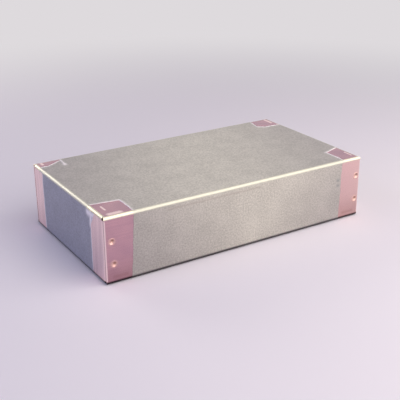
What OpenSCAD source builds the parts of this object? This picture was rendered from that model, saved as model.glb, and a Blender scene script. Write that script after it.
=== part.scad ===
// Folded aluminium electronics chassis. One sheet is bent down on four sides, turned in along
// the bottom and spot-welded at the corners. Its protective film is still on the outside,
// cut back by hand at the corners where the welds were made.
// Origin at the middle of the bottom, X along the length, Y towards the back, Z up.

/* [Box] */
// Outside length, along X
box_l = 228.6; // [160:0.1:330]
// Outside width, along Y
box_w = 127; // [100:0.1:250]
// Outside height, along Z
box_h = 50.8; // [40:0.1:100]

/* [Sheet] */
// Thickness of the aluminium sheet
sheet_t = 1.02; // [0.8:0.01:1.6]
// Inside radius of every bend
bend_r = 1; // [0.5:0.05:1.5]

/* [Bottom lips] */
// Width of the lip turned in along each side, from the outside face
lip_w = 12.7; // [9:0.1:20]
// Width of the open mitre between two lips
lip_mitre = 1.6; // [0.5:0.1:4]

/* [Weld tabs] */
// Reach of a tab behind the long side, from the outside of the end
tab_w = 12.7; // [10:0.1:18]
// Size of the corners cut off a tab's free end
tab_chamfer = 3; // [1:0.1:5]
// Slot between a tab's bend and the bends above and below it
tab_slot = 0.4; // [0.2:0.05:1]
// Air left between a tab and the side that it is welded to
weld_gap = 0.08; // [0.05:0.01:0.2]
// Distance that a long side stops short of the end's outside face
side_setback = 0.3; // [0.1:0.05:0.8]
// Radius to which the long side's upright edges are deburred
edge_r = 0.4; // [0.1:0.05:0.7]

/* [Spot welds] */
// Number of welds up each corner
weld_count = 2; // [1:1:4]
// Distance of the welds from the end's outside face
weld_inset = 5.3; // [5.2:0.1:7]
// Diameter of the fused metal between the two sheets
nugget_d = 3.6; // [2:0.1:4.5]
// Diameter of the dent left by the electrode
dent_d = 3.6; // [2.5:0.1:4.5]
// Depth of the dent on the outside face
dent_depth = 0.4; // [0.1:0.05:0.5]
// Depth of the dent on the inside of the tab
tab_dent_depth = 0.15; // [0.05:0.05:0.3]
// Width of the rim pushed up round a dent
rim_w = 0.9; // [0.5:0.05:1.2]
// Height of the rim pushed up round a dent
rim_h = 0.1; // [0.05:0.01:0.2]

/* [Corner relief] */
// Width of the slot that opens each corner where the bends meet
relief_w = 1.8; // [1:0.1:2.1]
// Height of the slot
relief_h = 2.4; // [1.9:0.1:2.8]
// Height of the slot's middle above the line where the top bends begin
relief_rise = 0.5; // [0.3:0.05:0.7]
// Distance of the slot's middle from the long side's outside face, on the end
relief_in = 1.6; // [1.2:0.1:2]
// Width of the slit that runs on from the slot through the top bend
corner_slit = 0.3; // [0.1:0.05:0.5]

/* [Protective film] */
// Thickness of the film
film_t = 0.1; // [0.05:0.01:0.3]
// Height of the film's lower edge above the bottom
film_bottom = 0.6; // [0.3:0.1:10]
// Distance from a corner to which the film is cut back
film_cut = 21; // [14:0.5:32]
// Height over which a slanting cut on an end runs out below the top
film_flare = 10; // [4:0.5:20]

/* [Hidden] */
$fn = 64;

outer_r = bend_r + sheet_t;
// Outside face of a tab, and the line where the end wall begins to bend into it
tab_y = sheet_t + weld_gap;
fold_y = tab_y + outer_r;
tab_z0 = outer_r + tab_slot;
tab_z1 = box_h - tab_z0;
// How far a cutting shape runs past the surface that it opens
past = 1;
// How far one shape is sunk into the next where the two are one sheet
sunk = 0.5;

// Welds are set by hand: side along X, side along Y, then how far the welds of that corner stray
// along the side and upwards
weld_strays = [
    [-1, -1, [[1, -1.8], [0, -1.7]]],
    [1, -1, [[-1.3, -1.5], [-1.3, 1.5]]],
    [-1, 1, [[0.6, -0.8], [-0.4, 1]]],
    [1, 1, [[-0.5, 1.1], [0.4, -0.6]]],
];

// Corners of the film: side along X, side along Y, then by how much the hand-cut edge runs past
// film_cut. First the cut on top, as points from the end's edge to the long side's edge.
// Then the cut on the long side and the cut on the end, each at its top and its bottom.
film_corners = [
    [-1, -1, [[0, 8], [2.8, 2.3], [2, 0]], [1.8, -1.2], [-6.5, 0]],
    [1, -1, [[0, 8], [-3.5, 1], [-4, 0]], [-1.7, -0.6], [4, 0]],
    [-1, 1, [[0, -9.3], [-13, -8.7], [0.4, -16.9], [0.5, 0]], [0.5, -0.5], [-1.5, -2]],
    [1, 1, [[0, 1], [-3.2, -0.1], [1.6, -4.4], [-2, 0]], [-2, -1], [0.5, -0.5]],
];

// Rectangle with one corner at the origin, where it is rounded
module round_corner(x, y, r) {
    translate([r, 0]) square([x - r, y]);
    translate([0, r]) square([x, y - r]);
    translate([r, r]) circle(r);
}

// Rectangle with four round corners, standing on the X axis
module rounded_section(w, h, r) {
    translate([r - w / 2, 0]) square([w - 2 * r, h]);
    translate([-w / 2, r]) square([w, h - 2 * r]);
    for (side = [-1, 1], z = [r, h - r]) translate([side * (w / 2 - r), z]) circle(r);
}

// Section of one fold of the sheet, with its outside corner at the origin
module fold_section(x, y) {
    difference() {
        round_corner(x, y, outer_r);
        translate([sheet_t, sheet_t]) round_corner(x, y, bend_r);
    }
}

// Block with round edges along its top and bottom and sharp upright edges
module rounded_block(l, w, h, r) {
    intersection() {
        rotate([90, 0, 90]) linear_extrude(l, center = true) rounded_section(w, h, r);
        rotate([90, 0, 0]) linear_extrude(w, center = true) rounded_section(l, h, r);
    }
}

// Moves to one corner: x runs in from the end, y in from the long side, z up
module corner_frame(side_x, side_y) {
    mirror([side_x > 0 ? 1 : 0, 0, 0])
        mirror([0, side_y > 0 ? 1 : 0, 0])
            translate([-box_l / 2, -box_w / 2, 0]) children();
}

module each_corner() {
    for (side_x = [-1, 1], side_y = [-1, 1]) corner_frame(side_x, side_y) children();
}

module each_weld() {
    for (corner = weld_strays, i = [1:weld_count]) {
        stray = corner[2][(i - 1) % len(corner[2])];
        corner_frame(corner[0], corner[1])
            translate([weld_inset + stray.x, 0, box_h * i / (weld_count + 1) + stray.y]) children();
    }
}

// The folded sheet before its corners are opened
module bare_shell() {
    difference() {
        rounded_block(box_l, box_w, box_h, outer_r);
        translate([0, 0, sheet_t])
            rounded_block(box_l - 2 * sheet_t, box_w - 2 * sheet_t, box_h - 2 * sheet_t, bend_r);
        translate([0, 0, sheet_t / 2])
            cube([box_l - 2 * lip_w, box_w - 2 * lip_w, sheet_t + 2 * past], center = true);
    }
}

// Opens the upright edge for the tab's bend, and the bottom corner and mitre between the lips.
// The long side's own edge is cut short and deburred.
module seam_cut() {
    seam_h = tab_z1 + tab_slot / 2 + past;
    translate([-past, sheet_t, -past]) cube([sheet_t + past, fold_y - sheet_t, seam_h]);
    translate([0, 0, -past]) linear_extrude(seam_h) difference() {
        translate([-past, -past]) square([side_setback + edge_r + past, sheet_t + 2 * past]);
        translate([side_setback, 0]) round_corner(edge_r + 2 * past, sheet_t + 2 * past, edge_r);
    }
    translate([-past, sheet_t, -past]) cube([fold_y + past, fold_y - sheet_t, tab_z0 + past]);
    translate([fold_y, fold_y, -past]) rotate([0, 0, 45])
        translate([-sunk, -lip_mitre / 2, 0]) cube([lip_w * sqrt(2), lip_mitre, sheet_t + 2 * past]);
}

// Keyhole cut slantwise into the corner at the head of the seam, so that the bends of the end, the long
// side and the tab run out clear of each other: a slot with round ends, and a slit up through the top
module corner_relief() {
    depth = (sheet_t + outer_r) / sqrt(2);
    straight = relief_h - relief_w;
    translate([0, relief_in, box_h - outer_r + relief_rise]) rotate([0, 0, 45]) translate([-2 * past, 0, 0])
        rotate([0, 90, 0]) linear_extrude(depth + 2 * past) {
            square([straight, relief_w], center = true);
            translate([-outer_r - past, -corner_slit / 2]) square([outer_r + past, corner_slit]);
            for (side = [-1, 1]) translate([side * straight / 2, 0]) circle(d = relief_w);
        }
}

// Tab bent from the end wall to lie behind the long side, with its free corners cut off
module weld_tab() {
    outline = [
        [-past, tab_z0], [tab_w - tab_chamfer, tab_z0], [tab_w, tab_z0 + tab_chamfer],
        [tab_w, tab_z1 - tab_chamfer], [tab_w - tab_chamfer, tab_z1], [-past, tab_z1],
    ];
    intersection() {
        translate([0, tab_y, 0]) linear_extrude(box_h) fold_section(tab_w, outer_r + sunk);
        translate([0, fold_y + past, 0]) rotate([90, 0, 0]) linear_extrude(fold_y + past) polygon(outline);
    }
}

// Metal fused between the side and the tab, with the rim that the electrode pushed up outside
module weld_metal() {
    rim_r = (rim_w * rim_w / 4 + rim_h * rim_h) / (2 * rim_h);
    translate([0, sheet_t - sunk, 0]) rotate([-90, 0, 0]) cylinder(d = nugget_d, h = weld_gap + 2 * sunk);
    rotate([90, 0, 0]) rotate_extrude() translate([(dent_d + rim_w) / 2, 0])
        intersection() {
            translate([0, rim_h - rim_r]) circle(rim_r);
            translate([-rim_w / 2, -sheet_t / 2]) square([rim_w, sheet_t / 2 + rim_h]);
        }
}

// Round-bottomed hollow that sinks to a depth below a face at the origin and is dent_d wide there
module dent(depth) {
    ball_r = (dent_d * dent_d / 4 + depth * depth) / (2 * depth);
    rotate([-90, 0, 0]) rotate_extrude() intersection() {
        translate([0, depth - ball_r]) circle(ball_r);
        translate([0, -past]) square([dent_d / 2 + rim_w, past + depth]);
    }
}

module weld_dents() {
    dent(dent_depth);
    translate([0, tab_y + sheet_t, 0]) mirror([0, 1, 0]) dent(tab_dent_depth);
}

module chassis() {
    color([0.78, 0.68, 0.69]) difference() {
        union() {
            difference() {
                bare_shell();
                each_corner() seam_cut();
            }
            each_corner() weld_tab();
            each_weld() weld_metal();
        }
        each_corner() corner_relief();
        each_weld() weld_dents();
    }
}

// Film cut away at one corner, on top, on the long side and on the end
module film_corner_cut(top, long, end) {
    wall_h = box_h - outer_r;
    first = film_cut + top[0].y;
    last = film_cut + top[len(top) - 1].x;
    inner = [for (i = [1:len(top) - 2]) [film_cut + top[i].x, film_cut + top[i].y]];
    translate([0, 0, wall_h]) linear_extrude(outer_r + past)
        polygon(concat([[-past, -past], [-past, first]], inner, [[last, -past]]));
    translate([0, outer_r, 0]) rotate([90, 0, 0]) linear_extrude(outer_r + past)
        polygon([[-past, 0], [film_cut + long[1], 0], [film_cut + long[0], wall_h], [-past, wall_h]]);
    translate([-past, 0, 0]) rotate([90, 0, 90]) linear_extrude(outer_r + past)
        polygon([
            [-past, 0], [film_cut + end[1], 0], [film_cut + end[1], wall_h - film_flare],
            [film_cut + end[0], wall_h], [-past, wall_h],
        ]);
}

module protective_film() {
    color([0.66, 0.65, 0.62]) difference() {
        translate([0, 0, -film_t])
            rounded_block(box_l + 2 * film_t, box_w + 2 * film_t, box_h + 2 * film_t, outer_r + film_t);
        rounded_block(box_l, box_w, box_h, outer_r);
        translate([-box_l, -box_w, -past]) cube([2 * box_l, 2 * box_w, film_bottom + past]);
        for (c = film_corners) corner_frame(c[0], c[1]) film_corner_cut(c[2], c[3], c[4]);
    }
}

chassis();
protective_film();
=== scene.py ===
"""Dresses a folded aluminium electronics chassis that still wears its protective film.

The sheet metal comes from the frame as it is. This add-on lays the thin film over it, cut back by hand
at the four corners, gives the metal and the film their finish, and sets a plain studio round them.
Lengths are metres in the frame's own axes: X along the length, Y towards the back, Z up.
"""

import math

import bpy
import numpy as np
from bpy.props import FloatProperty, FloatVectorProperty, PointerProperty
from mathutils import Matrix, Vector


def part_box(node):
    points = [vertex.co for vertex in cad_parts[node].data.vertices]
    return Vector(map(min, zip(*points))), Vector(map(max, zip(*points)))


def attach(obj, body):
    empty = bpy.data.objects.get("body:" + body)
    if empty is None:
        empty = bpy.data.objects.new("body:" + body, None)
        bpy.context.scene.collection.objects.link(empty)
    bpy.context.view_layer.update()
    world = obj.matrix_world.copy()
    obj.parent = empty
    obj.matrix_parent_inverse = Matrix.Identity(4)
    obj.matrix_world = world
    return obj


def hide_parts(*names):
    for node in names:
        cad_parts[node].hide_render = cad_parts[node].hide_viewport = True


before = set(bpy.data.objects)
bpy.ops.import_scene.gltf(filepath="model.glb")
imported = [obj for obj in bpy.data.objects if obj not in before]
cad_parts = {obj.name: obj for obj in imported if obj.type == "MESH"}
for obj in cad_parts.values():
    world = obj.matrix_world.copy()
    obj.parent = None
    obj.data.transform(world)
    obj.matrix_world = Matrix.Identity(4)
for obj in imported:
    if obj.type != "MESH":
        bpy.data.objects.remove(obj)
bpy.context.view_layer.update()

bl_info = {
    "name": "Aluminium electronics chassis",
    "version": (1, 0, 0),
    "blender": (4, 5, 0),
    "location": "View3D > Sidebar > Chassis",
    "description": "Lays the protective film on a folded chassis and gives it its finish",
    "category": "Object",
}

MM = 0.001

# Numbers of a Mix node's sockets: its factor, its two numbers, its two colours, and the mixed colour
FACTOR, NUMBER_A, NUMBER_B, COLOUR_A, COLOUR_B = 0, 2, 3, 6, 7
MIXED_COLOUR = 2

# Sizes of the sheet metal and the film, from the frame. The sheet's own box takes in the raised rims of
# the welds on the long sides, so the width comes from the film.
SHEET_LOW, SHEET_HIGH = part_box("chassis")
FILM_LOW, FILM_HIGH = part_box("protective_film")
LENGTH = SHEET_HIGH.x - SHEET_LOW.x
HEIGHT = SHEET_HIGH.z
FILM_THICK = FILM_HIGH.z - HEIGHT
WIDTH = FILM_HIGH.y - FILM_LOW.y - 2 * FILM_THICK
FILM_BOTTOM = FILM_LOW.z
# Outside radius of a bend: 1 mm inside, and the sheet's thickness
BEND_R = 2.02 * MM
# Length of sheet in a quarter bend, and the flat height of a wall between its two bends
TURN = BEND_R * math.pi / 2
WALL = HEIGHT - 2 * BEND_R
# Length of film carried round the bottom bend to its lower edge
TUCK = BEND_R * math.asin(1 - FILM_BOTTOM / BEND_R)
# Height of the top, and half the height of the marks along the upright edges, in millimetres
TOP = HEIGHT / MM
UPRIGHT = TOP / 2 - 3.2

# The hand-cut edge of the film at each corner, in millimetres: side along X, side along Y, the points on
# top as (in from the end, in from the long side), the cut on the long side at its top and its bottom,
# and the cut on the end at its top and its bottom
FILM_CUTS = (
    (-1, -1, ((0, 26.5), (23.8, 23.3), (23, 0)), (22.8, 19.8), (14.5, 21)),
    (1, -1, ((0, 29), (17.5, 22), (17, 0)), (19.3, 20.4), (25, 21)),
    (-1, 1, ((0, 11.7), (8, 12.3), (21.4, 4.1), (21.5, 0)), (21.5, 20.5), (19.5, 19)),
    (1, 1, ((0, 22), (17.8, 20.9), (22.6, 16.6), (19, 0)), (19, 20), (21.5, 20.5)),
)
CUT_NAMES = ("left_front", "right_front", "left_back", "right_back")
FILM_NAME = "laid_film"
# Height below the top over which the cut on an end slants, in millimetres
CUT_FLARE = 10
# Spacing of the points along a cut, the spans of its waver in millimetres, and the waver's first seed
CUT_STEP = 1 * MM
CUT_SPANS = (9.0, 23.0, 41.0)
CUT_SEED = 11

# Creases and milky places in the film, in millimetres of its flat pattern: side along X, side along Y,
# start and end as (in from the end, in from the long side), half width, height and milkiness. Below zero
# is down the wall.
CREASES = (
    (-1, 1, (21.3, 5), (20.7, 15.3), 0.8, 0.45, 1),
    (-1, 1, (20.7, 14), (20.5, 16), 1.5, 0.3, 1),
    (-1, 1, (9, 14), (1, 18), 2.5, 0.15, 0),
    (-1, -1, (-3, 15.5), (-3.5, 25), 2.6, 0.15, 1),
    (-1, -1, (-4, 19.5), (-12, 20.6), 2, 0.2, 1),
    (1, -1, (17.6, 22), (14.5, 23.3), 1.6, 0.2, 0.7),
    (1, 1, (22.4, 16.4), (21.4, 11), 1.4, 0.2, 0.7),
)
# Milkiness of a cut on the top and on an end, how much darker it turns, below zero, on a long side, and the
# reach of both
MILK_TOP = 0.6
MILK_END = 0.35
LONG_CUT_DARKER = -0.35
MILK_REACH = 1.2 * MM

# Grid of the film's flat pattern: how far in from the edges the cuts run, and the number of steps in each
# stretch, from the middle out: middle, near the cuts, top bend, wall, bottom bend
CUT_REACH = 36 * MM
GRID_STEPS = (16, 48, 8, 40, 3)
# Faces of the film that meet at more than this angle have a sharp edge
SHARP_ANGLE = math.radians(50)
# Keeps a level stretch of an outline from dividing by zero
TINY = 1e-12

# Bead along a cut: height of its flat underside above the metal, points round its section, the spans of its
# swelling in millimetres, the first seed, the stretch over which it runs out and its least size there
SEAT = 0.005 * MM
BEAD_SIDES = 12
BEAD_SPANS = (5.0, 13.0, 31.0)
BEAD_SEED = 51
RUN_OUT = 4 * MM
LEAST_BEAD = 0.05
# Size of the bead where it is thinnest and on the walls of the ends, the share of it that is pressed flat
# over the bend, and the least milkiness along it
THIN_BEAD = 0.6
END_BEAD = 0.6
BEND_PRESS = 0.9
BEAD_MILK = 0.8

# Middles of the spot welds, in millimetres: side along X, side along Y, in from the end, and height
WELDS = (
    (-1, -1, 6.3, 15.1), (-1, -1, 5.3, 32.2), (1, -1, 4.0, 15.4), (1, -1, 4.0, 35.4),
    (-1, 1, 5.9, 16.1), (-1, 1, 4.9, 34.9), (1, 1, 4.8, 18.0), (1, 1, 5.7, 33.3),
)
# How far right of the weld's middle and above it the painted shade in the dent lies, in millimetres
DENT_SHADE_RIGHT = 0.7
DENT_SHADE_UP = 0.8

# Marks on the metal, in millimetres from a corner: middle as (in from the end, in from the long side,
# height), half size along X, Y and Z, and softness. The heat's halo and the painted shade in each dent take
# their middles from the welds, and the halo its softness from the user.
HALO_CORE = (0, 1, 0)
DENT_SHADE = ((0.3, 1, 0.2), 1.5)
# Painted highlights on the bend of the tab, and on the edge of the long side beside it, at every corner
EDGE_HIGHLIGHTS = (
    ((0.3, 2.6, TOP / 2), (0.4, 0.3, UPRIGHT), 0.5),
    ((0.6, 0, TOP / 2), (0.2, 0.5, UPRIGHT), 0.5),
)
# Painted shade in the seams of the front, and in the mouth of the relief above every seam
SEAM = ((0.8, 1.4, TOP / 2), (1, 0.3, UPRIGHT), 0.25)
SEAM_MOUTH = ((0.7, 1.9, TOP - 1.5), (0.7, 0.4, 0.8), 0.4)
# Painted reflection of a dark line on the floor, low on the long sides at every corner
REFLECTED_LINE = ((11, 0, 5.4), (5, 1, 0), 2)
# Pale streaks on the bare metal on top, after their side along X and side along Y
PALE_STREAKS = (
    (-1, -1, (7.3, 15.7, TOP), (0.3, 3.6, 0.2), 0.8),
    (-1, -1, (10.5, 4.2, TOP), (4, 0.2, 0.2), 3.4),
    (1, -1, (3.9, 11.2, TOP), (0.3, 4.2, 0.2), 0.7),
    (1, 1, (4.6, 8.2, TOP), (0.7, 5.5, 0.2), 0.9),
    (-1, 1, (5.6, 5.0, TOP), (0.6, 2.2, 0.2), 0.9),
)
# Marks on the film in the same form: the die's line below the front's top bend, from the left front corner,
# and two finger marks, from the right front corner
FILM_LINE = ((89.3, 0, TOP - 5), (40, 1, 0), 1.1)
FINGER_MARKS = (((22.6, 0, 30.5), (0.4, 1, 0), 2.2), ((22.6, 0, 35), (0.4, 1, 0), 2.2))
# Softness of the bright bends' lower edge
BEND_SOFT = 0.25 * MM

# Grain of the metal: widths to a streak's length, streaks to a grain width on the ends, blotches to a
# streak's length, their share of the tone, and the part of the noise that makes the whole tone
GRAIN_STRETCH = 40
END_GRAIN = 0.8
BLOTCHES = 3
BLOTCH_SHARE = 0.6
GRAIN_SPAN = (0.36, 0.64)
# Part of the upright noise that turns the ends' painted reflection from its least paleness to full
PALE_SPAN = (0.4, 0.62)
PALE_LEAST = 0.7
# Roughness that the grain adds or takes, and that the bright bends, the pale streaks and the weld heat add,
# and the bump of the grain
GRAIN_ROUGH = 0.05
MARK_ROUGH = 0.18
GRAIN_BUMP = 0.1
GRAIN_DEPTH = 0.03 * MM

# Mottle of the film: fine cells to a broad one, the broad ones' share of the tone, and the part of the noise
# that makes the whole tone
BROAD_CELLS = 14
BROAD_SHARE = 0.2
MOTTLE_SPAN = (0.62, 0.38)
# Roughness that the mottle adds or takes, its bump, and how far the film shines like metal over the bends
MOTTLE_ROUGH = 0.06
MOTTLE_BUMP = 0.3
MOTTLE_DEPTH = 0.05 * MM
BEND_SHINE = 0.5
FILM_IOR = 1.5
# Band in which the film is painted brightest, with painted shade growing away from it: direction across it,
# how far right it lies in front and left at the back, the share of the depth below the top that counts as
# distance from it, and the distance to full painted shade
BAND_ACROSS = (1, -0.4, 0)
BAND_SHIFT = 36 * MM
BAND_HEIGHT = 0.9
BAND_FADE = 150 * MM

# Floor: half its side, the distances over which it passes into the backdrop, and its roughness
FLOOR_HALF = 4.0
FLOOR_FADE = (0.25, 0.8)
FLOOR_ROUGHNESS = 0.9
# Soft lamps: name of the user's power for it, place, width, height, and name of the user's tint
LAMPS = (
    ("key", (0.3, -0.49, 0.38), 1.0, 0.8, "key_tint"),
    ("overhead", (0.28, -0.1, 0.95), 0.8, 0.8, "key_tint"),
    ("back", (-0.42, 1.0, 0.42), 0.6, 0.6, "key_tint"),
    ("fill", (-1.0, 0.1, 0.5), 0.8, 0.8, "fill_tint"),
)
LAMP_AIM = (0.02, 0, HEIGHT / 2)
SENSOR_WIDTH = 36


def linear(hex_colour):
    """Linear red, green and blue of an sRGB colour written as six hex digits."""
    shares = [int(hex_colour[i:i + 2], 16) / 255 for i in (0, 2, 4)]
    return tuple(s / 12.92 if s <= 0.04045 else ((s + 0.055) / 1.055) ** 2.4 for s in shares)


def colour(name, description, hex_colour):
    """A colour that the user can change."""
    return FloatVectorProperty(
        name=name, description=description, subtype="COLOR", size=3, min=0, max=1, default=linear(hex_colour)
    )


def length(name, description, millimetres):
    """A length that the user can change, shown in the scene's own unit."""
    return FloatProperty(
        name=name, description=description, unit="LENGTH", min=0, precision=5, default=millimetres * MM
    )


def share(name, description, default):
    """A share from 0 to 1 that the user can change."""
    return FloatProperty(name=name, description=description, subtype="FACTOR", min=0, max=1, default=default)


def watts(name, description, default):
    """Power of a lamp that the user can change."""
    return FloatProperty(name=name, description=description, unit="POWER", min=0, default=default)


class SheetFinish(bpy.types.PropertyGroup):
    """Finish of the bare sheet metal."""

    # The rosy cast of both metal colours is a painted reflection of purple surroundings
    metal: colour("Metal", "Rolled aluminium, with the rosy cast that it has in warm light", "D0A5AE")
    metal_dark: colour("Metal, dark grain", "The same metal in the furrows of its rolling grain", "BE97A4")
    # Painted light: the long sides' metal turns lighter and warmer towards the right, where more light falls
    metal_lit_side: colour("Metal, warm side", "The long sides' metal where it takes more of the light", "E4C2BE")
    # Painted reflection: the ends' metal is paler, as where it mirrors lit floor beside it; only its upright
    # streaks come from the grain
    metal_end_reflection: colour("Metal of the ends", "The ends' metal, paler along its upright grain", "FFE4E2")
    # Partly metal rubbed bright by the folding tool, partly a painted highlight along the top bends
    burnish_and_highlight: colour("Burnished bend", "Metal rubbed bright by the folding tool along the top bends", "CDC6B6")
    # Painted highlight on the upright edges and the tabs' bends beside them
    edge: colour("Deburred edge", "Metal laid bright by the file along the upright edges", "FBE2E0")
    # Pale streaks laid on the bare metal on top
    pale_streak: colour("Rub", "Metal rubbed pale by the folding tool on the top's corners", "FFE6E4")
    heat: colour("Weld heat", "Tint that the heat of a spot weld leaves round it", "E6BCA8")
    # Painted shade in the upper part of each weld's dent
    dent_shade_tint: colour("Scorch", "Burnt metal in the shaded part of a weld's dent", "76482F")
    # On the sheet this colour serves a painted reflection of a dark line low on the long sides, and painted
    # shade low down on them
    mark: colour("Tool mark", "Line pressed into the metal by the edge of the folding die", "8A6660")
    # Painted shadow along the foot, where the walls meet the floor, and painted shade in the seams
    painted_dark: colour("Bench dirt", "Dark line of dirt along the foot", "1E1622")
    # The real grain is too fine to show, so it is drawn as coarse as it needs to
    grain: length("Grain width", "Width of one streak of the rolling grain", 1.2)
    halo: length("Weld halo", "Reach of the heat tint from a weld's middle", 4.4)
    # Height of the painted shadow along the foot
    foot: length("Dirt height", "Height of the dirt along the foot", 3.2)
    # Height of the painted shade that makes the long sides darker low down
    darkening: length("Grime height", "Height of the faint brown grime low on the long sides", 24)
    roughness: share("Roughness", "Roughness of the rolled surface", 0.22)


class FilmFinish(bpy.types.PropertyGroup):
    """Shape and finish of the protective film."""

    film: colour("Film", "Satin film over aluminium", "D4D0C7")
    # Painted shade: the film darker away from a lit band across it
    film_shaded: colour("Film, dull", "The same film where it dulls towards the ends", "B0ABAA")
    # Painted shade: the film on the ends, which face away from the light, cooler and darker
    film_end_shaded: colour("Film of the ends", "The same film on the ends, where it is cooler", "A0A2B0")
    mottle_tint: colour("Mottle", "Shade of the film's darker cells, laid over its colour", "D8D8D8")
    haze: colour("Lifted film", "Film that has come off the metal and turned milky", "F8F2F6")
    # Partly film drawn tight and bright, partly a painted highlight over the top bends
    burnish_and_highlight: colour("Burnished bend", "Film drawn tight and bright over the top bends", "C8C7BA")
    mark: colour("Tool mark", "Line pressed through the film by the edge of the folding die", "9A8C84")
    smudge: colour("Smudge", "Grey finger marks on the film", "7E8486")
    # Painted shadow along the foot; the film's darker band along its cuts on the long sides takes this colour
    # too
    painted_dark: colour("Bench dirt", "Dark line of dirt along the foot", "1E1622")
    waver: length("Cut waver", "How far the hand-cut edge strays from a straight line", 0.3)
    # The real mottle is too fine to show, so it is drawn as coarse as it needs to
    mottle: length("Mottle size", "Size of one cell of the film's fine mottle", 1.2)
    # Height of the painted shadow along the foot
    foot: length("Dirt height", "Height of the dirt along the foot", 3.2)
    roughness: share("Roughness", "Roughness of the film", 0.4)


class EdgeShape(bpy.types.PropertyGroup):
    """Shape of the beads along the film's cuts."""

    width: length("Bead width", "Width of the bead that the knife rolled up along the cuts", 1.1)
    height: length("Bead height", "Height of that bead", 0.4)


class StudioLook(bpy.types.PropertyGroup):
    """Floor, lamps and camera."""

    floor: colour("Floor", "Pale floor under the chassis", "EAE6F2")
    backdrop: colour("Backdrop", "Pale surroundings that the camera and mirrors show", "DEDADD")
    sky: colour("Surroundings", "Soft light from all round", "D6DAF4")
    sky_strength: FloatProperty(
        name="Surroundings", description="Strength of the light all round", min=0, default=0.18
    )
    key: watts("Key lamp", "Power of the large soft lamp in front on the right", 5.2)
    overhead: watts("Overhead lamp", "Power of the soft lamp above", 2.5)
    back: watts("Back lamp", "Power of the smaller lamp behind on the left", 3.8)
    fill: watts("Fill lamp", "Power of the weak cool lamp on the left", 3.2)
    key_tint: colour("Key tint", "Colour of the key, overhead and back lamps", "FFF6EA")
    fill_tint: colour("Fill tint", "Colour of the fill lamp", "BCC0F0")
    eye: FloatVectorProperty(
        name="Eye", description="Place of the camera", subtype="TRANSLATION", size=3, precision=5,
        default=(-0.31508, -0.50595, 0.26330),
    )
    gaze: FloatVectorProperty(
        name="Gaze", description="Turn of the camera about X, Y and Z", subtype="EULER", size=3, precision=5,
        default=tuple(math.radians(a) for a in (67.496, 0.239, -32.116)),
    )
    lens: FloatProperty(
        name="Lens", description="Focal length on a sensor 36 mm wide", unit="CAMERA", default=71.402
    )


def add(tree, kind, inputs=None, **settings):
    """Add one node. Settings are its own properties; inputs are values or sockets by name or number."""
    node = tree.nodes.new(kind)
    for name, value in settings.items():
        setattr(node, name, value)
    for key, value in (inputs or {}).items():
        socket = node.inputs[key]
        if isinstance(value, bpy.types.NodeSocket):
            tree.links.new(value, socket)
        elif socket.type == "RGBA":
            socket.default_value = (*value, 1.0)
        else:
            socket.default_value = value
    return node


def new_material(name):
    """An empty node material with its output, as (material, tree, surface socket)."""
    material = bpy.data.materials.new(name)
    material.use_nodes = True
    tree = material.node_tree
    tree.nodes.clear()
    output = add(tree, "ShaderNodeOutputMaterial")
    return material, tree, output.inputs["Surface"]


def placing(tree):
    """The place on the object, that place folded into one corner, the normal, and the normal folded too.
    Folded is with X, Y and Z made positive."""
    place = add(tree, "ShaderNodeTexCoord").outputs["Object"]
    folded = add(tree, "ShaderNodeVectorMath", {0: place}, operation="ABSOLUTE").outputs[0]
    facing = add(tree, "ShaderNodeNewGeometry").outputs["Normal"]
    turned = add(tree, "ShaderNodeVectorMath", {0: facing}, operation="ABSOLUTE").outputs[0]
    return place, folded, facing, turned


def near(tree, place, centre, half, soft):
    """1 inside a box given by its centre and half sizes, falling smoothly to 0 at soft outside it."""
    offset = add(tree, "ShaderNodeVectorMath", {0: place, 1: centre}, operation="SUBTRACT").outputs[0]
    spread = add(tree, "ShaderNodeVectorMath", {0: offset}, operation="ABSOLUTE").outputs[0]
    past = add(tree, "ShaderNodeVectorMath", {0: spread, 1: half}, operation="SUBTRACT").outputs[0]
    outside = add(tree, "ShaderNodeVectorMath", {0: past, 1: (0, 0, 0)}, operation="MAXIMUM").outputs[0]
    gap = add(tree, "ShaderNodeVectorMath", {0: outside}, operation="LENGTH").outputs["Value"]
    fall = {"Value": gap, "From Min": soft, "From Max": 0.0, "To Min": 0.0, "To Max": 1.0}
    return add(tree, "ShaderNodeMapRange", fall, interpolation_type="SMOOTHSTEP").outputs[0]


def corner_mark(tree, place, side_x, side_y, middle, half, soft):
    """1 on a mark that is measured from one corner, falling to 0 at soft outside it. Lengths are in
    millimetres, and the middle is in from the end, in from the long side and up from the bottom."""
    p, q, z = middle
    centre = (side_x * (LENGTH / 2 - p * MM), side_y * (WIDTH / 2 - q * MM), z * MM)
    return near(tree, place, centre, tuple(h * MM for h in half), soft * MM)


def largest(tree, masks):
    """The largest of several masks at each place."""
    most = masks[0]
    for mask in masks[1:]:
        most = add(tree, "ShaderNodeMath", {0: most, 1: mask}, operation="MAXIMUM").outputs[0]
    return most


def outer_band(tree, folded, low, high, soft):
    """1 on the outside of the four walls between two heights, falling to 0 at soft past them, for a place
    folded into one corner."""
    half = BEND_R / 2
    middle = (low + high) / 2
    tall = (high - low) / 2
    along_x = near(tree, folded, (0, WIDTH / 2 - half, middle), (LENGTH, half, tall), soft)
    along_y = near(tree, folded, (LENGTH / 2 - half, 0, middle), (half, WIDTH, tall), soft)
    return largest(tree, [along_x, along_y])


def streaks(tree, place, scale, detail=3.0, roughness=0.55):
    """Noise stretched by a scale for each axis, in cells to the metre, as a number from 0 to 1."""
    stretched = add(tree, "ShaderNodeMapping", {"Vector": place, "Scale": scale}).outputs[0]
    noise = {"Vector": stretched, "Scale": 1.0, "Detail": detail, "Roughness": roughness}
    return add(tree, "ShaderNodeTexNoise", noise).outputs["Fac"]


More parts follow.
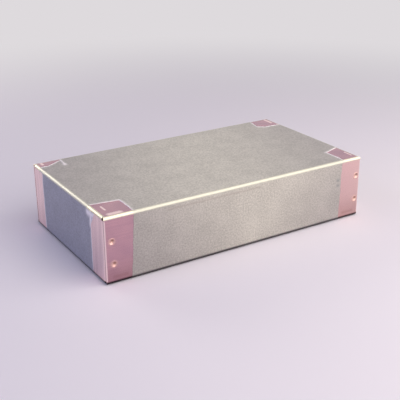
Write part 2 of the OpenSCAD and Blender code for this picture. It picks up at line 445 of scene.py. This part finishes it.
def lay_over(tree, base, layers):
    """Lay tints over a base colour one after another, each by its mask times its strength."""
    for mask, strength, tint in layers:
        part = add(
            tree, "ShaderNodeMath", {0: mask, 1: strength}, operation="MULTIPLY", use_clamp=True
        ).outputs[0]
        mix = {FACTOR: part, COLOUR_A: base, COLOUR_B: tint}
        base = add(tree, "ShaderNodeMix", mix, data_type="RGBA").outputs[MIXED_COLOUR]
    return base


def sheet_marks(tree, place, folded, look):
    """Masks of the marks on the bare sheet, by name: what making and use left, and painted shade, reflection
    and highlights.
    """
    halos = []
    shaded_parts = []
    for side_x, side_y, inset, height in WELDS:
        shaded_part = (inset - side_x * DENT_SHADE_RIGHT, 0, height + DENT_SHADE_UP)
        halos.append(corner_mark(tree, place, side_x, side_y, (inset, 0, height), HALO_CORE, look.halo / MM))
        shaded_parts.append(corner_mark(tree, place, side_x, side_y, shaded_part, *DENT_SHADE))
    seams = [corner_mark(tree, place, side_x, -1, *SEAM) for side_x in (-1, 1)]
    mouth = corner_mark(tree, folded, 1, 1, *SEAM_MOUTH)
    return {
        # The dents' shaded parts, the seams, the foot and the low band are painted shade, the line a painted
        # reflection, the edges a painted highlight, and the bright bends partly one
        "halo": largest(tree, halos),
        "shaded_part": largest(tree, shaded_parts),
        "pale_streak": largest(tree, [corner_mark(tree, place, *pale_streak) for pale_streak in PALE_STREAKS]),
        "edge": largest(tree, [corner_mark(tree, folded, 1, 1, *edge) for edge in EDGE_HIGHLIGHTS]),
        "seam": largest(tree, [*seams, mouth]),
        "line": corner_mark(tree, folded, 1, 1, *REFLECTED_LINE),
        "bright": outer_band(tree, folded, HEIGHT - BEND_R, HEIGHT, BEND_SOFT),
        "foot": outer_band(tree, folded, 0, look.foot / 2, look.foot / 2),
        "low": near(tree, folded, (0, WIDTH / 2, 0), (LENGTH, BEND_R, 0), look.darkening),
    }


def rolled_aluminium(look):
    """Mill-finish rolled aluminium: a soft mirror that takes its tone from what stands round it, faintly
    streaked along the rolling, with a rosy cast painted in as a reflection of purple surroundings. The bright
    bends are partly rubbed bright by the folding tool and partly a painted highlight, pale streaks lie on
    top, and welds leave a copper halo."""
    material, tree, surface = new_material("mill_finish_rolled_aluminium")
    place, folded, _, turned = placing(tree)
    on_end, on_side, _ = add(tree, "ShaderNodeSeparateXYZ", {0: turned}).outputs
    marks = sheet_marks(tree, place, folded, look)

    # The grain runs along the length on top and long sides, and upright on the ends
    fine = 1 / look.grain
    coarse = fine / GRAIN_STRETCH
    blotchy = coarse * BLOTCHES
    lengthwise = streaks(tree, place, (coarse, fine, fine))
    upright = streaks(tree, place, (coarse, fine * END_GRAIN, coarse))
    blotch = streaks(tree, place, (blotchy, blotchy, blotchy), detail=1.0)
    ways = {FACTOR: on_end, NUMBER_A: lengthwise, NUMBER_B: upright}
    grain = add(tree, "ShaderNodeMix", ways).outputs[0]
    blend = {FACTOR: BLOTCH_SHARE, NUMBER_A: grain, NUMBER_B: blotch}
    mixed = add(tree, "ShaderNodeMix", blend).outputs[0]
    whole = {"Value": mixed, "From Min": GRAIN_SPAN[0], "From Max": GRAIN_SPAN[1]}
    tone = add(tree, "ShaderNodeMapRange", whole).outputs[0]

    # The long sides are painted lighter and warmer towards the right, where more light falls, and darker low
    # down as painted shade; the ends get a paler painted reflection, broken into uneven upright streaks of
    # the grain
    across = add(tree, "ShaderNodeSeparateXYZ", {0: place}).outputs["X"]
    drift = {"Value": across, "From Min": -LENGTH / 2, "From Max": LENGTH / 2}
    right = add(tree, "ShaderNodeMapRange", drift).outputs[0]
    warm = add(tree, "ShaderNodeMath", {0: on_side, 1: right}, operation="MULTIPLY").outputs[0]
    low_shade = add(tree, "ShaderNodeMath", {0: on_side, 1: marks["low"]}, operation="MULTIPLY").outputs[0]
    uneven = {
        "Value": upright, "From Min": PALE_SPAN[0], "From Max": PALE_SPAN[1],
        "To Min": PALE_LEAST, "To Max": 1.0,
    }
    streaky = add(tree, "ShaderNodeMapRange", uneven).outputs[0]
    pale = add(tree, "ShaderNodeMath", {0: on_end, 1: streaky}, operation="MULTIPLY").outputs[0]

    tones = {FACTOR: tone, COLOUR_A: look.metal_dark, COLOUR_B: look.metal}
    base = add(tree, "ShaderNodeMix", tones, data_type="RGBA").outputs[MIXED_COLOUR]
    # Layers of painted light over the tone: lighter on the right of the long sides, a paler painted
    # reflection on the ends, painted shade low down, in the dents, the seams and along the foot, a painted
    # reflected line, and painted highlights on the edges and, in part, the bends
    base = lay_over(tree, base, (
        (warm, 1.0, look.metal_lit_side),
        (pale, 1.0, look.metal_end_reflection),
        (low_shade, 0.35, look.mark),
        (marks["halo"], 0.7, look.heat),
        (marks["shaded_part"], 0.6, look.dent_shade_tint),
        (marks["line"], 0.22, look.mark),
        (marks["pale_streak"], 0.95, look.pale_streak),
        (marks["edge"], 1.0, look.edge),
        (marks["bright"], 1.0, look.burnish_and_highlight),
        (marks["seam"], 0.85, look.painted_dark),
        (marks["foot"], 0.95, look.painted_dark),
    ))

    spread = {"Value": grain, "To Min": look.roughness - GRAIN_ROUGH, "To Max": look.roughness + GRAIN_ROUGH}
    rough = add(tree, "ShaderNodeMapRange", spread).outputs[0]
    rubbed = largest(tree, [marks["bright"], marks["pale_streak"], marks["halo"]])
    worn = add(
        tree, "ShaderNodeMath", {0: rubbed, 1: MARK_ROUGH, 2: rough}, operation="MULTIPLY_ADD"
    ).outputs[0]
    relief = {"Height": grain, "Strength": GRAIN_BUMP, "Distance": GRAIN_DEPTH}
    bump = add(tree, "ShaderNodeBump", relief).outputs["Normal"]
    finish = {"Base Color": base, "Metallic": 1.0, "Roughness": worn, "Normal": bump}
    shader = add(tree, "ShaderNodeBsdfPrincipled", finish).outputs[0]
    tree.links.new(shader, surface)
    return material


def lit_band_shade(tree, place, facing):
    """Share of painted shade on the film: 0 along a band that slants across the top and lies right of the
    middle in front, rising to 1 away from it, and sooner low down."""
    across = add(
        tree, "ShaderNodeVectorMath", {0: place, 1: BAND_ACROSS}, operation="DOT_PRODUCT"
    ).outputs["Value"]
    back = add(tree, "ShaderNodeSeparateXYZ", {0: facing}).outputs["Y"]
    off = add(
        tree, "ShaderNodeMath", {0: back, 1: BAND_SHIFT, 2: across}, operation="MULTIPLY_ADD"
    ).outputs[0]
    apart = add(tree, "ShaderNodeMath", {0: off}, operation="ABSOLUTE").outputs[0]
    high = add(tree, "ShaderNodeSeparateXYZ", {0: place}).outputs["Z"]
    reach = add(
        tree, "ShaderNodeMath", {0: high, 1: -BAND_HEIGHT, 2: apart}, operation="MULTIPLY_ADD"
    ).outputs[0]
    at_band = -BAND_HEIGHT * HEIGHT
    span = {"Value": reach, "From Min": at_band, "From Max": at_band + BAND_FADE}
    return add(tree, "ShaderNodeMapRange", span, interpolation_type="SMOOTHSTEP").outputs[0]


def satin_film(look):
    """Satin polyethylene film pressed on to metal: an even grey with a fine mottle from the adhesive,
    milky where it has lifted and bright where it is drawn over a bend, partly as a painted highlight. Painted
    shade darkens it away from a lit band, on the ends and along the foot."""
    material, tree, surface = new_material("satin_polyethylene_film")
    place, folded, facing, turned = placing(tree)
    on_end = add(tree, "ShaderNodeSeparateXYZ", {0: turned}).outputs["X"]
    cells = 1 / look.mottle
    wide = cells / BROAD_CELLS
    fine = streaks(tree, place, (cells, cells, cells))
    broad = streaks(tree, place, (wide, wide, wide), detail=1.0)
    blend = {FACTOR: BROAD_SHARE, NUMBER_A: fine, NUMBER_B: broad}
    mixed = add(tree, "ShaderNodeMix", blend).outputs[0]
    whole = {"Value": mixed, "From Min": MOTTLE_SPAN[0], "From Max": MOTTLE_SPAN[1]}
    tone = add(tree, "ShaderNodeMapRange", whole).outputs[0]

    shade_share = lit_band_shade(tree, place, facing)
    line = corner_mark(tree, place, -1, -1, *FILM_LINE)
    spot = largest(tree, [corner_mark(tree, place, 1, -1, *mark) for mark in FINGER_MARKS])
    bright = outer_band(tree, folded, HEIGHT - BEND_R, HEIGHT, BEND_SOFT)
    foot = outer_band(tree, folded, 0, look.foot / 2, look.foot / 2)
    haze = add(tree, "ShaderNodeAttribute", attribute_name="haze").outputs["Fac"]
    darkening = add(tree, "ShaderNodeMath", {0: haze, 1: -1.0}, operation="MULTIPLY").outputs[0]

    # Painted shade away from the lit band and on the ends, then among the film's own marks a painted
    # highlight on the bends and painted shadow along the foot
    base = add(
        tree, "ShaderNodeMix", {FACTOR: shade_share, COLOUR_A: look.film, COLOUR_B: look.film_shaded}, data_type="RGBA"
    ).outputs[MIXED_COLOUR]
    base = add(
        tree, "ShaderNodeMix", {FACTOR: on_end, COLOUR_A: base, COLOUR_B: look.film_end_shaded}, data_type="RGBA"
    ).outputs[MIXED_COLOUR]
    base = add(
        tree, "ShaderNodeMix", {FACTOR: tone, COLOUR_A: base, COLOUR_B: look.mottle_tint},
        data_type="RGBA", blend_type="MULTIPLY",
    ).outputs[MIXED_COLOUR]
    base = lay_over(tree, base, (
        (line, 0.35, look.mark),
        (spot, 0.65, look.smudge),
        (darkening, 0.5, look.painted_dark),
        (haze, 1.0, look.haze),
        (bright, 1.0, look.burnish_and_highlight),
        (foot, 0.95, look.painted_dark),
    ))

    spread = {"Value": fine, "To Min": look.roughness - MOTTLE_ROUGH, "To Max": look.roughness + MOTTLE_ROUGH}
    rough = add(tree, "ShaderNodeMapRange", spread).outputs[0]
    relief = {"Height": fine, "Strength": MOTTLE_BUMP, "Distance": MOTTLE_DEPTH}
    bump = add(tree, "ShaderNodeBump", relief).outputs["Normal"]
    shine = add(tree, "ShaderNodeMath", {0: bright, 1: BEND_SHINE}, operation="MULTIPLY").outputs[0]
    finish = {"Base Color": base, "Metallic": shine, "Roughness": rough, "IOR": FILM_IOR, "Normal": bump}
    shader = add(tree, "ShaderNodeBsdfPrincipled", finish).outputs[0]
    tree.links.new(shader, surface)
    return material


def spaced(stops, steps):
    """Numbers from the first stop to the last, with so many equal steps between each pair of stops."""
    runs = [np.linspace(a, b, n, endpoint=False) for a, b, n in zip(stops, stops[1:], steps)]
    return np.append(np.concatenate(runs), stops[-1])


def waver(along, seed, spans):
    """An uneven wave from -1 to 1 along an edge: the mean of sines with the given spans in millimetres."""
    phases = np.random.default_rng(seed).uniform(0, 2 * np.pi, len(spans))
    waves = [np.sin(2 * np.pi * along / (span * MM) + phase) for span, phase in zip(spans, phases)]
    return np.mean(waves, axis=0)


def corner_seed(first, side_x, side_y):
    """A seed of its own for each corner."""
    return first + side_x + 3 * side_y


def round_fold(distance, half):
    """Follow the sheet's outside from the middle of the top: flat, over the top bend, down the wall and on
    round the bottom bend. Gives the distance out, the drop, and the normal's outward and upward parts."""
    flat = half - BEND_R
    top = np.clip((distance - flat) / BEND_R, 0, math.pi / 2)
    down = np.clip(distance - flat - TURN, 0, WALL)
    low = np.clip((distance - flat - TURN - WALL) / BEND_R, 0, math.pi / 2)
    out = np.minimum(distance, flat) + BEND_R * np.sin(top) - BEND_R * (1 - np.cos(low))
    drop = BEND_R * (1 - np.cos(top)) + down + BEND_R * np.sin(low)
    return out, drop, np.sin(top + low), np.cos(top + low)


def on_sheet(u, v, off):
    """Places for a flat pattern (u, v) wrapped over the box: each axis follows its own fold, the drops add
    up, and the point then moves off along the outward normal."""
    out_u, drop_u, side_u, up_u = round_fold(np.abs(u), LENGTH / 2)
    out_v, drop_v, side_v, up_v = round_fold(np.abs(v), WIDTH / 2)
    place = np.stack([np.sign(u) * out_u, np.sign(v) * out_v, HEIGHT - drop_u - drop_v], axis=-1)
    normal = np.stack([np.sign(u) * side_u, np.sign(v) * side_v, up_u * up_v], axis=-1)
    return place + off[..., None] * normal


def on_wall(below):
    """Flat-pattern distance of a point on a wall from its top edge line, for a depth below the top in mm."""
    return BEND_R - TURN - (below * MM - BEND_R)


def sideways(path):
    """Unit directions across a path, to the left of its heading."""
    heading = np.gradient(path, axis=0)
    across = np.stack([-heading[:, 1], heading[:, 0]], axis=1)
    return across / np.linalg.norm(across, axis=1, keepdims=True)


def run_along(path):
    """Distance of each point of a path from its start, along the path."""
    return np.append(0, np.cumsum(np.linalg.norm(np.diff(path, axis=0), axis=1)))


def cut_path(cut, stray):
    """Edge of the film at one corner, as points (in from the end, in from the long side) of the flat
    pattern: up the end, across the top and down the long side, with the waver of a hand-held knife."""
    side_x, side_y, top, (long_top, long_low), (end_top, end_low) = cut
    foot = on_wall(HEIGHT / MM) - BEND_R
    brow = on_wall(BEND_R / MM)
    corners = np.array([
        (foot, end_low * MM),
        (on_wall(BEND_R / MM + CUT_FLARE), end_low * MM),
        (brow, end_top * MM),
        (brow, top[0][1] * MM),
        *[(p * MM, q * MM) for p, q in top[1:-1]],
        (top[-1][0] * MM, brow),
        (long_top * MM, brow),
        (long_low * MM, foot),
    ])
    at = run_along(corners)
    along = np.linspace(0, at[-1], int(at[-1] / CUT_STEP))
    path = np.stack([np.interp(along, at, corners[:, k]) for k in (0, 1)], axis=1)
    wave = waver(along, corner_seed(CUT_SEED, side_x, side_y), CUT_SPANS)
    return path + stray * wave[:, None] * sideways(path)


def to_path(points, path):
    """Distance of points from a path, and the nearest place on it."""
    start = path[:-1]
    step = np.diff(path, axis=0)
    size = np.linalg.norm(step, axis=1)
    offset = points[:, None] - start
    part = np.clip((offset * step).sum(2) / size ** 2, 0, 1)
    place = start + part[..., None] * step
    gap = np.linalg.norm(points[:, None] - place, axis=2)
    rows = np.arange(len(points))
    best = gap.argmin(1)
    return gap[rows, best], place[rows, best]


def in_outline(points, outline):
    """Whether points lie inside a closed outline: a line out along X crosses it an odd number of times."""
    a = outline
    b = np.roll(outline, -1, axis=0)
    x = points[:, 0, None]
    y = points[:, 1, None]
    spans = (a[:, 1] > y) != (b[:, 1] > y)
    rise = np.where(b[:, 1] == a[:, 1], TINY, b[:, 1] - a[:, 1])
    cross = a[:, 0] + (y - a[:, 1]) / rise * (b[:, 0] - a[:, 0])
    return (spans & (x < cross)).sum(1) % 2 == 1


def in_corner(u, v, side_x, side_y):
    """Flat-pattern points measured in from the end and the long side of one corner."""
    return np.stack([LENGTH / 2 - side_x * u, WIDTH / 2 - side_y * v], axis=-1)


def film_piece(name, places, faces, haze, material):
    """A piece of film from its points and faces, with the milkiness of each point as an attribute."""
    mesh = bpy.data.meshes.new(name)
    mesh.from_pydata(places, [], faces)
    mesh.polygons.foreach_set("use_smooth", np.ones(len(faces), bool))
    mesh.set_sharp_from_angle(angle=SHARP_ANGLE)
    mesh.attributes.new("haze", "FLOAT", "POINT").data.foreach_set("value", haze)
    mesh.materials.append(material)
    mesh.validate()
    piece = bpy.data.objects.new(name, mesh)
    bpy.context.scene.collection.objects.link(piece)
    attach(piece, "root")
    return piece


def shell(name, u, v, lift, haze, keep, material):
    """A thin closed shell of film from a grid of flat-pattern points: an outer skin one film thickness off
    its place, an inner skin under it, and a rim along every open edge. Keep says which cells are there."""
    index = np.arange(u.size).reshape(u.shape)
    quads = np.stack([index[:-1, :-1], index[1:, :-1], index[1:, 1:], index[:-1, 1:]], axis=-1)[keep]
    used, quads = np.unique(quads, return_inverse=True)
    quads = quads.reshape(-1, 4)
    u, v, lift, haze = (a.ravel()[used] for a in (u, v, lift, haze))
    count = len(used)
    places = np.concatenate([on_sheet(u, v, lift + FILM_THICK), on_sheet(u, v, lift)])
    edges = np.stack([quads, np.roll(quads, -1, axis=1)], axis=-1).reshape(-1, 2)
    forward = edges[:, 0] * count + edges[:, 1]
    rim = edges[~np.isin(forward, edges[:, 1] * count + edges[:, 0])]
    walls = np.stack([rim[:, 1], rim[:, 0], rim[:, 0] + count, rim[:, 1] + count], axis=1)
    faces = np.concatenate([quads, quads[:, ::-1] + count, walls]).tolist()
    return film_piece(name, places, faces, np.tile(haze, 2), material)


def roll_edge(name, cut, shape, stray, material):
    """The bead that the knife rolled up along a cut: a half-round section, flat below, carried along the cut
    up the end and across the top. It swells and thins along its way and runs out to nothing at both ends."""
    side_x, side_y = cut[:2]
    path = cut_path(cut, stray)
    path = path[(path[:, 1] > BEND_R) & (path[:, 0] > BEND_R - TURN - WALL)]
    along = run_along(path)
    wave = 0.5 + 0.5 * waver(along, corner_seed(BEAD_SEED, side_x, side_y), BEAD_SPANS)
    from_tip = np.minimum(along, along[-1] - along)
    run_out = np.clip(from_tip / RUN_OUT, LEAST_BEAD, 1)
    on_bend = np.clip(1 - np.abs(path[:, 0] - (BEND_R - TURN / 2)) / TURN, 0, 1)
    on_end = np.where(path[:, 0] < 0, END_BEAD, 1)
    swell = (THIN_BEAD + (1 - THIN_BEAD) * wave) * run_out * on_end * (1 - BEND_PRESS * on_bend)
    turn = np.linspace(0, 2 * np.pi, BEAD_SIDES, endpoint=False)
    spread = swell[:, None] * np.cos(turn) * shape.width / 2
    p, q = np.moveaxis(path[:, None] + spread[..., None] * sideways(path)[:, None], -1, 0)
    off = SEAT + swell[:, None] * np.maximum(np.sin(turn), 0) * shape.height
    places = on_sheet(side_x * (LENGTH / 2 - p), side_y * (WIDTH / 2 - q), off).reshape(-1, 3)

    ring = np.arange(len(places)).reshape(p.shape)
    after = np.roll(ring, -1, axis=1)
    quads = np.stack([ring[:-1], ring[1:], after[1:], after[:-1]], axis=-1).reshape(-1, 4)
    # A corner that mirrors another turns its faces round, so that all of them point outwards
    a, b, c = np.moveaxis(places[quads[:, :3]] - places.mean(0), 1, 0)
    way = -1 if (a * np.cross(b, c)).sum() < 0 else 1
    faces = quads[:, ::way].tolist() + [ring[0, ::way].tolist(), ring[-1, ::-way].tolist()]
    haze = np.repeat(BEAD_MILK + (1 - BEAD_MILK) * wave, BEAD_SIDES)
    return film_piece(name, places, faces, haze, material)


def film_lines(half):
    """Grid lines of the flat pattern along one axis: wide in the middle, close where the cuts run and
    closer still over the bends."""
    flat = half - BEND_R
    foot = flat + TURN + WALL
    out = spaced([0, half - CUT_REACH, flat, flat + TURN, foot, foot + TUCK], GRID_STEPS)
    return np.concatenate([-out[:0:-1], out])


def trim(u, v, keep, path, side_x, side_y):
    """Take the cells inside one corner's cut out of the grid, and slide the points along the cut on to it."""
    mid_u, mid_v = ((a[:-1, :-1] + a[1:, 1:]) / 2 for a in (u, v))
    cells = (mid_u * side_x > 0) & (mid_v * side_y > 0)
    outline = np.append(path, [[path[0, 0], path[-1, 1]]], axis=0)
    keep[cells] = ~in_outline(in_corner(mid_u[cells], mid_v[cells], side_x, side_y), outline)

    gone = np.pad(~keep & cells, 1)
    kept = np.pad(keep, 1)
    beside = [gone[i:i + u.shape[0], j:j + u.shape[1]] for i in (0, 1) for j in (0, 1)]
    within = [kept[i:i + u.shape[0], j:j + u.shape[1]] for i in (0, 1) for j in (0, 1)]
    edge = np.any(beside, axis=0) & np.any(within, axis=0)
    place = to_path(in_corner(u[edge], v[edge], side_x, side_y), path)[1]
    u[edge] = side_x * (LENGTH / 2 - place[:, 0])
    v[edge] = side_y * (WIDTH / 2 - place[:, 1])


def weather(u, v, lift, haze, path, side_x, side_y):
    """Turn one corner's film milky on top and less so on the end beside its cut, and darker on the long side,
    as bells of the distance from the cut. Creases lift off the metal as bells too, and turn milky."""
    area = (u * side_x > 0) & (v * side_y > 0)
    points = in_corner(u[area], v[area], side_x, side_y)
    gap = to_path(points, path)[0]
    on_top = np.where(points[:, 0] < 0, MILK_END, MILK_TOP)
    shows = np.where(points[:, 1] < 0, LONG_CUT_DARKER, on_top)
    haze[area] = shows * np.exp(-(gap / MILK_REACH) ** 2)
    for crease_x, crease_y, start, end, wide, high, milk in CREASES:
        if (crease_x, crease_y) == (side_x, side_y):
            away = to_path(points, np.array([start, end]) * MM)[0]
            bell = np.exp(-(away / (wide * MM)) ** 2)
            lift[area] = np.maximum(lift[area], high * MM * bell)
            haze[area] = np.maximum(haze[area], milk * bell)


def flat_pattern(stray):
    """The film laid flat, before it is wrapped over the box: a grid of points that loses the cells inside the
    four corner cuts. Gives u, v, the lift and milkiness of each point, and which cells are kept."""
    u, v = np.meshgrid(film_lines(LENGTH / 2), film_lines(WIDTH / 2), indexing="ij")
    keep = np.ones((u.shape[0] - 1, u.shape[1] - 1), bool)
    lift = np.zeros(u.shape)
    haze = np.zeros(u.shape)
    for cut in FILM_CUTS:
        side_x, side_y = cut[:2]
        path = cut_path(cut, stray)
        trim(u, v, keep, path, side_x, side_y)
        weather(u, v, lift, haze, path, side_x, side_y)
    return u, v, lift, haze, keep


class CHASSIS_OT_finish_sheet(bpy.types.Operator):
    """Give the folded sheet its mill finish"""

    bl_idname = "chassis.finish_sheet"
    bl_label = "Finish the sheet metal"

    def execute(self, context):
        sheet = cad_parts["chassis"]
        sheet.data.materials.clear()
        sheet.data.materials.append(rolled_aluminium(context.scene.chassis_sheet))
        return {"FINISHED"}


class CHASSIS_OT_lay_film(bpy.types.Operator):
    """Lay the protective film over the sheet, cut back at the corners"""

    bl_idname = "chassis.lay_film"
    bl_label = "Lay the film"

    def execute(self, context):
        look = context.scene.chassis_film
        film = shell(FILM_NAME, *flat_pattern(look.waver), satin_film(look))
        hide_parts("protective_film")
        return {"FINISHED"}


class CHASSIS_OT_roll_edges(bpy.types.Operator):
    bl_idname = "chassis.roll_edges"
    bl_label = "Roll up the cut edges"

    def execute(self, context):
        film = bpy.data.objects[FILM_NAME]
        material = film.data.materials[0]
        shape = context.scene.chassis_edges
        stray = context.scene.chassis_film.waver
        beads = [
            roll_edge("rolled_edge_" + name, cut, shape, stray, material)
            for name, cut in zip(CUT_NAMES, FILM_CUTS)
        ]
        u, v, _, _, keep = flat_pattern(stray)
        return {"FINISHED"}


def lamp(name, place, width, height, power, tint):
    """A soft rectangular lamp at a place, turned to face the chassis."""
    light = bpy.data.lights.new(name, "AREA")
    light.shape = "RECTANGLE"
    light.size = width
    light.size_y = height
    light.energy = power
    light.color = tint
    holder = bpy.data.objects.new(name, light)
    holder.location = place
    holder.visible_camera = False
    holder.rotation_euler = (Vector(LAMP_AIM) - Vector(place)).to_track_quat("-Z", "Y").to_euler()
    bpy.context.scene.collection.objects.link(holder)


def shown(tree):
    """1 for a ray that shows the surroundings, straight or in a mirror or glass, and 0 for light that falls
    on the object from them."""
    rays = add(tree, "ShaderNodeLightPath").outputs
    return largest(tree, [rays[name] for name in ("Is Camera Ray", "Is Glossy Ray", "Is Transmission Ray")])


def paper_floor(look):
    """Matt paper: an even pale tone with no gleam that takes a soft shadow. Far from the object it passes
    into the backdrop."""
    material, tree, surface = new_material("matt_paper_floor")
    matt = {"Base Color": look.floor, "Roughness": FLOOR_ROUGHNESS}
    paper = add(tree, "ShaderNodeBsdfPrincipled", matt).outputs[0]
    distant = add(tree, "ShaderNodeEmission", {"Color": look.backdrop}).outputs[0]
    place = add(tree, "ShaderNodeTexCoord").outputs["Object"]
    away = add(tree, "ShaderNodeVectorMath", {0: place}, operation="LENGTH").outputs["Value"]
    reach = {"Value": away, "From Min": FLOOR_FADE[0], "From Max": FLOOR_FADE[1]}
    far = add(tree, "ShaderNodeMapRange", reach, interpolation_type="SMOOTHSTEP").outputs[0]
    fade = add(tree, "ShaderNodeMath", {0: far, 1: shown(tree)}, operation="MULTIPLY").outputs[0]
    sweep = add(tree, "ShaderNodeMixShader", {0: fade, 1: paper, 2: distant}).outputs[0]
    tree.links.new(sweep, surface)
    return material


def surroundings(look):
    """A world that lights the object softly, and shows the pale backdrop to the eye and in mirrors."""
    world = bpy.data.worlds.new("surroundings")
    world.use_nodes = True
    tree = world.node_tree
    tree.nodes.clear()
    light = {"Color": look.sky, "Strength": look.sky_strength}
    sky = add(tree, "ShaderNodeBackground", light).outputs[0]
    backdrop = add(tree, "ShaderNodeBackground", {"Color": look.backdrop}).outputs[0]
    both = add(tree, "ShaderNodeMixShader", {0: shown(tree), 1: sky, 2: backdrop}).outputs[0]
    add(tree, "ShaderNodeOutputWorld", {"Surface": both})
    return world


class CHASSIS_OT_set_studio(bpy.types.Operator):
    """Set the floor, the lamps and the camera"""

    bl_idname = "chassis.set_studio"
    bl_label = "Set the studio"

    def execute(self, context):
        scene = context.scene
        look = scene.chassis_studio
        scene.view_settings.view_transform = "Standard"

        corners = [(x * FLOOR_HALF, y * FLOOR_HALF, 0) for x, y in ((-1, -1), (1, -1), (1, 1), (-1, 1))]
        mesh = bpy.data.meshes.new("floor")
        mesh.from_pydata(corners, [], [(0, 1, 2, 3)])
        mesh.materials.append(paper_floor(look))
        floor = bpy.data.objects.new("floor", mesh)
        scene.collection.objects.link(floor)

        scene.world = surroundings(look)
        for name, place, width, height, tint in LAMPS:
            lamp(name + "_lamp", place, width, height, getattr(look, name), getattr(look, tint))

        camera = bpy.data.objects.new("camera", bpy.data.cameras.new("camera"))
        camera.location = look.eye
        camera.rotation_euler = look.gaze
        camera.data.lens = look.lens
        camera.data.sensor_width = SENSOR_WIDTH
        scene.collection.objects.link(camera)
        scene.camera = camera
        return {"FINISHED"}


class VIEW3D_PT_chassis(bpy.types.Panel):
    """Sizes, colours and steps of the chassis"""

    bl_label = "Chassis"
    bl_space_type = "VIEW_3D"
    bl_region_type = "UI"
    bl_category = "Chassis"

    def draw(self, context):
        for step, group in STEPS:
            box = self.layout.box()
            look = getattr(context.scene, group)
            for name in look.bl_rna.properties.keys():
                if name not in ("rna_type", "name"):
                    box.prop(look, name)
            box.operator(step.bl_idname)


GROUPS = {
    "chassis_sheet": SheetFinish,
    "chassis_film": FilmFinish,
    "chassis_edges": EdgeShape,
    "chassis_studio": StudioLook,
}
STEPS = (
    (CHASSIS_OT_finish_sheet, "chassis_sheet"),
    (CHASSIS_OT_lay_film, "chassis_film"),
    (CHASSIS_OT_roll_edges, "chassis_edges"),
    (CHASSIS_OT_set_studio, "chassis_studio"),
)
CLASSES = (*GROUPS.values(), *[step for step, _ in STEPS], VIEW3D_PT_chassis)


def register():
    for item in CLASSES:
        bpy.utils.register_class(item)
    for name, group in GROUPS.items():
        setattr(bpy.types.Scene, name, PointerProperty(type=group))


def unregister():
    for name in GROUPS:
        delattr(bpy.types.Scene, name)
    for item in reversed(CLASSES):
        bpy.utils.unregister_class(item)


def main():
    """Run every step in order."""
    register()
    bpy.ops.chassis.finish_sheet()
    bpy.ops.chassis.lay_film()
    bpy.ops.chassis.roll_edges()
    bpy.ops.chassis.set_studio()


if __name__ == "__main__":
    main()
